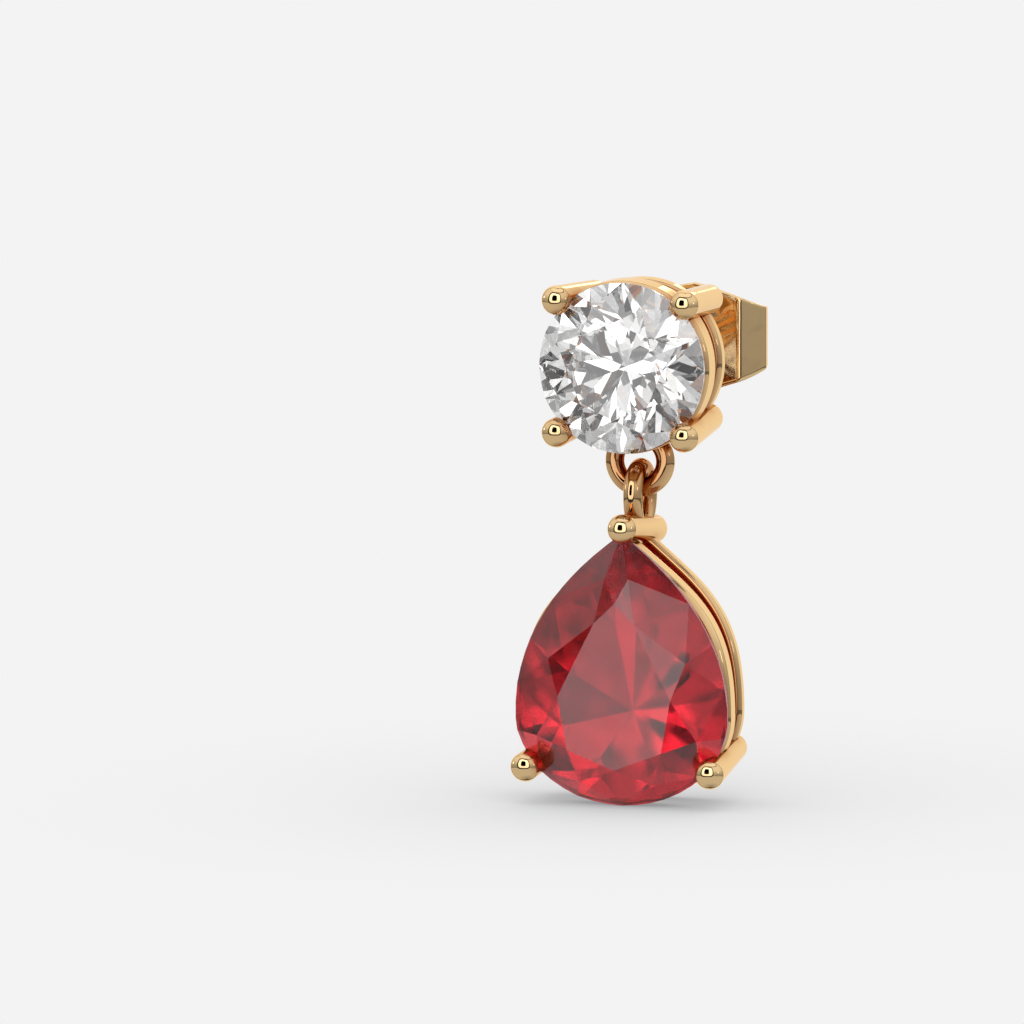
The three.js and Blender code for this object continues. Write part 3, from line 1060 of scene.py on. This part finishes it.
@dataclass(frozen=True)
class Studio:
    """A pale light tent: soft walls, a darker floor and a bright box with a dark opening."""

    backdrop: float = 0.896
    floor: float = 0.6
    floor_below: float = 0.33
    low_wall: float = 0.38
    high_wall: float = 0.85
    ceiling: float = 1.05
    glitter_scale: float = 6.0
    glitter_least: float = 0.55
    glitter_most: float = 1.35
    # Where the brightness changes: the elevation and half the width of the change, in degrees
    below_edge: tuple[float, float] = (-70, 20)
    floor_edge: tuple[float, float] = (-9.5, 0.8)
    wall_edge: tuple[float, float] = (12, 18)
    ceiling_edge: tuple[float, float] = (56, 3)
    disc_radius: float = 0.2
    disc_sides: int = 96
    disc_gap: float = 0.00002
    shadow_reach: float = 0.022
    shadow_samples: int = 32
    shadow_color: Color = (0.3, 0.3, 0.305, 1)
    windows: tuple[LightWindow, ...] = (
        LightWindow(0, -9.5, 400, 1.5, 0.16),
        LightWindow(180, 20, 46, 120, 0.12),
        LightWindow(180, 10, 39, 70, 1.08, 0.85),
        LightWindow(58, 54, 90, 2.5, 0.2),
        LightWindow(-27, 17, 43, 35, 0.05),
        LightWindow(-25.5, 16.5, 35, 27.5, 2.2, 1.4),
        LightWindow(-28, 16, 16, 17, 0.0),
        LightWindow(58, 12, 3, 3, 3.0),
        LightWindow(166, 14, 4, 4, 3.0),
        LightWindow(-112, 8, 4, 4, 3.0),
    )

    def light(self) -> None:
        """Makes the world: walls and floor by elevation, then the windows, then the stones' glitter."""
        world = bpy.data.worlds.new("light_tent")
        bpy.context.scene.world = world
        graph = Graph.of(world)
        turn = graph.node("VectorRotate")
        turn.rotation_type = "Z_AXIS"
        graph.link(graph.node("TexCoord").outputs["Generated"], turn.inputs["Vector"])
        turn.inputs["Angle"].default_value = -math.radians(CAMERA_AZIMUTH)
        split = graph.node("SeparateXYZ")
        graph.link(turn.outputs[0], split.inputs[0])
        x, y, z = split.outputs
        azimuth = graph.math("DEGREES", graph.math("ARCTAN2", x, graph.math("MULTIPLY", y, -1)))
        elevation = graph.math("DEGREES", graph.math("ARCSINE", z))
        wall = graph.ramp(graph.step(elevation, *self.wall_edge), self.low_wall, self.high_wall)
        wall = graph.mix_value(graph.step(elevation, *self.ceiling_edge), wall, self.ceiling)
        ground = graph.ramp(graph.step(elevation, *self.below_edge), self.floor_below, self.floor)
        light = graph.mix_value(graph.step(elevation, *self.floor_edge), ground, wall)
        for window in self.windows:
            light = self.with_window(graph, light, window, azimuth, elevation)
        path = graph.node("LightPath")
        light = self.with_glitter(graph, light, path.outputs["Transmission Depth"])
        seen = graph.math("MULTIPLY", path.outputs["Is Camera Ray"], self.backdrop)
        hidden = graph.math("MULTIPLY", graph.math("SUBTRACT", 1, path.outputs["Is Camera Ray"]), light)
        background = graph.node("Background")
        graph.link(graph.math("ADD", seen, hidden), background.inputs["Strength"])
        background.inputs["Color"].default_value = (1, 1, 1, 1)
        output = graph.node("OutputWorld")
        graph.link(background.outputs[0], output.inputs["Surface"])

    def with_window(
        self,
        graph: Graph,
        light: bpy.types.NodeSocket,
        window: LightWindow,
        azimuth: bpy.types.NodeSocket,
        elevation: bpy.types.NodeSocket,
    ) -> bpy.types.NodeSocket:
        """Lays one window over the light so far: its mask falls where across ** 4 + rise ** 4 passes one.

        Args:
            graph: the world's tree.
            light: the light so far.
            window: the window to add.
            azimuth: the direction's azimuth in degrees.
            elevation: the direction's elevation in degrees.

        Returns:
            The light with the window in it.
        """
        offset = graph.math("SUBTRACT", azimuth, window.azimuth)
        offset = graph.math("WRAP", offset, 180.0, -180.0)
        across = graph.math("DIVIDE", offset, window.half_width)
        across = graph.math("POWER", graph.math("ABSOLUTE", across), 4.0)
        rise = graph.math("DIVIDE", graph.math("SUBTRACT", elevation, window.elevation), window.half_height)
        rise = graph.math("POWER", graph.math("ABSOLUTE", rise), 4.0)
        outside = graph.step(graph.math("ADD", across, rise), 1.0, window.soft)
        mask = graph.math("SUBTRACT", 1.0, outside)
        foot = window.strength if window.foot_strength is None else window.foot_strength
        rising = graph.step(elevation, window.elevation, window.half_height)
        strength = graph.ramp(rising, foot, window.strength)
        kept = graph.math("MULTIPLY", light, graph.math("SUBTRACT", 1.0, mask))
        return graph.math("ADD", kept, graph.math("MULTIPLY", mask, strength))

    def with_glitter(
        self, graph: Graph, light: bpy.types.NodeSocket, depth: bpy.types.NodeSocket
    ) -> bpy.types.NodeSocket:
        """Breaks the light that leaves a stone into cells of different brightness, as a full room would.

        Args:
            graph: the world's tree.
            light: the light so far.
            depth: how many stone faces the ray has passed.

        Returns:
            The light, broken up for rays that come out of a stone.
        """
        cells = graph.node("TexVoronoi")
        graph.link(graph.node("TexCoord").outputs["Generated"], cells.inputs["Vector"])
        cells.inputs["Scale"].default_value = self.glitter_scale
        chance = graph.node("SeparateColor")
        graph.link(cells.outputs["Color"], chance.inputs[0])
        share = graph.ramp(graph.step(chance.outputs[0], 0.5, 0.4), self.glitter_least, self.glitter_most)
        broken = graph.math("MULTIPLY", light, share)
        inside = graph.math("GREATER_THAN", depth, 0.5)
        kept = graph.math("MULTIPLY", light, graph.math("SUBTRACT", 1.0, inside))
        return graph.math("ADD", kept, graph.math("MULTIPLY", broken, inside))

    def ground(self) -> None:
        """The pale floor: a disc just under the drop, darker where the earring hides the light from it."""
        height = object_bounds()[0].z - self.disc_gap
        rim = np.insert(circle(self.disc_radius, self.disc_sides), 2, height, axis=1)
        mesh = bpy.data.meshes.new("floor")
        mesh.from_pydata(rim, [], [list(range(self.disc_sides))])
        pale = bpy.data.materials.new("pale_floor")
        graph = Graph.of(pale)
        open_sky = graph.openness(self.shadow_reach, self.shadow_samples)
        shade = graph.mix(open_sky, self.shadow_color, (1, 1, 1, 1))
        glow = graph.node("Emission")
        graph.link(shade, glow.inputs["Color"])
        glow.inputs["Strength"].default_value = self.backdrop
        output = graph.node("OutputMaterial")
        graph.link(glow.outputs[0], output.inputs["Surface"])
        mesh.materials.append(pale)
        floor = bpy.data.objects.new("floor", mesh)
        bpy.context.scene.collection.objects.link(floor)
        for kind in ("diffuse", "glossy", "transmission", "shadow"):
            setattr(floor, f"visible_{kind}", False)
        floor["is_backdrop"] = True


@dataclass(frozen=True)
class PhotoCamera:
    """The camera at the photograph's angle, far off with a long lens."""

    frame_px: float = 1024
    focal_px: float = 30000
    px_per_mm: float = 27.42
    sensor: float = 36
    aim_right: float = -4.01
    aim_up: float = -5.244

    def place(self) -> None:
        """Makes the camera, aimed so that the earring sits where it does in the photograph."""
        a, e = math.radians(CAMERA_AZIMUTH), math.radians(CAMERA_ELEVATION)
        right = Vector((math.cos(a), math.sin(a), 0))
        back = Vector((math.sin(a) * math.cos(e), -math.cos(a) * math.cos(e), math.sin(e)))
        up = back.cross(right)
        aim = Vector((0, GIRDLE_Y, 0)) + right * self.aim_right + up * self.aim_up
        camera = bpy.data.cameras.new("camera")
        camera.sensor_width = self.sensor
        camera.lens = self.focal_px / self.frame_px * self.sensor
        camera.clip_start, camera.clip_end = 0.001, 10
        item = bpy.data.objects.new("camera", camera)
        bpy.context.scene.collection.objects.link(item)
        item.location = (aim + back * self.focal_px / self.px_per_mm) * MM
        item.rotation_mode = "QUATERNION"
        item.rotation_quaternion = (-back).to_track_quat("-Z", "Y")
        bpy.context.scene.camera = item


CLEAR_STONE = Gem(
    name="clear_stone",
    color=(1, 1, 1, 1),
    veil=(0.985, 0.985, 0.98, 1),
    ior=2.417,
    roughness=0.0,
    haze=0.0,
    coat=0.0,
    cloud_scale=500,
)
RED_STONE = Gem(
    name="red_stone",
    color=(0.64, 0.011, 0.026, 1),
    veil=(0.54, 0.009, 0.02, 1),
    ior=1.77,
    roughness=0.11,
    haze=0.16,
    coat=0.2,
    cloud_scale=420,
)


def dress_stones() -> None:
    """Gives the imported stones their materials."""
    for node, gem in (("round_stone", CLEAR_STONE), ("pear_stone", RED_STONE)):
        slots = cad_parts[node].data.materials
        slots.clear()
        slots.append(gem.material())
        log.info("%s: %s", node, gem.name)


def light_paths() -> None:
    """Lets light bounce often enough inside the stones, and shows colours without a film curve."""
    scene = bpy.context.scene
    scene.view_settings.view_transform = "Standard"
    cycles = scene.cycles
    cycles.max_bounces = 24
    cycles.transmission_bounces = 24
    cycles.glossy_bounces = 12


def main() -> None:
    """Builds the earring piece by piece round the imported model."""
    logging.basicConfig(level=logging.INFO, format="%(name)s: %(message)s")
    PhotoCamera().place()
    studio = Studio()
    studio.light()
    studio.ground()
    light_paths()
    gold = Polish().material()
    for part in (Stud(), Drop(), FrictionBack()):
        part.build(gold)
    dress_stones()


if __name__ == "__main__":
    main()
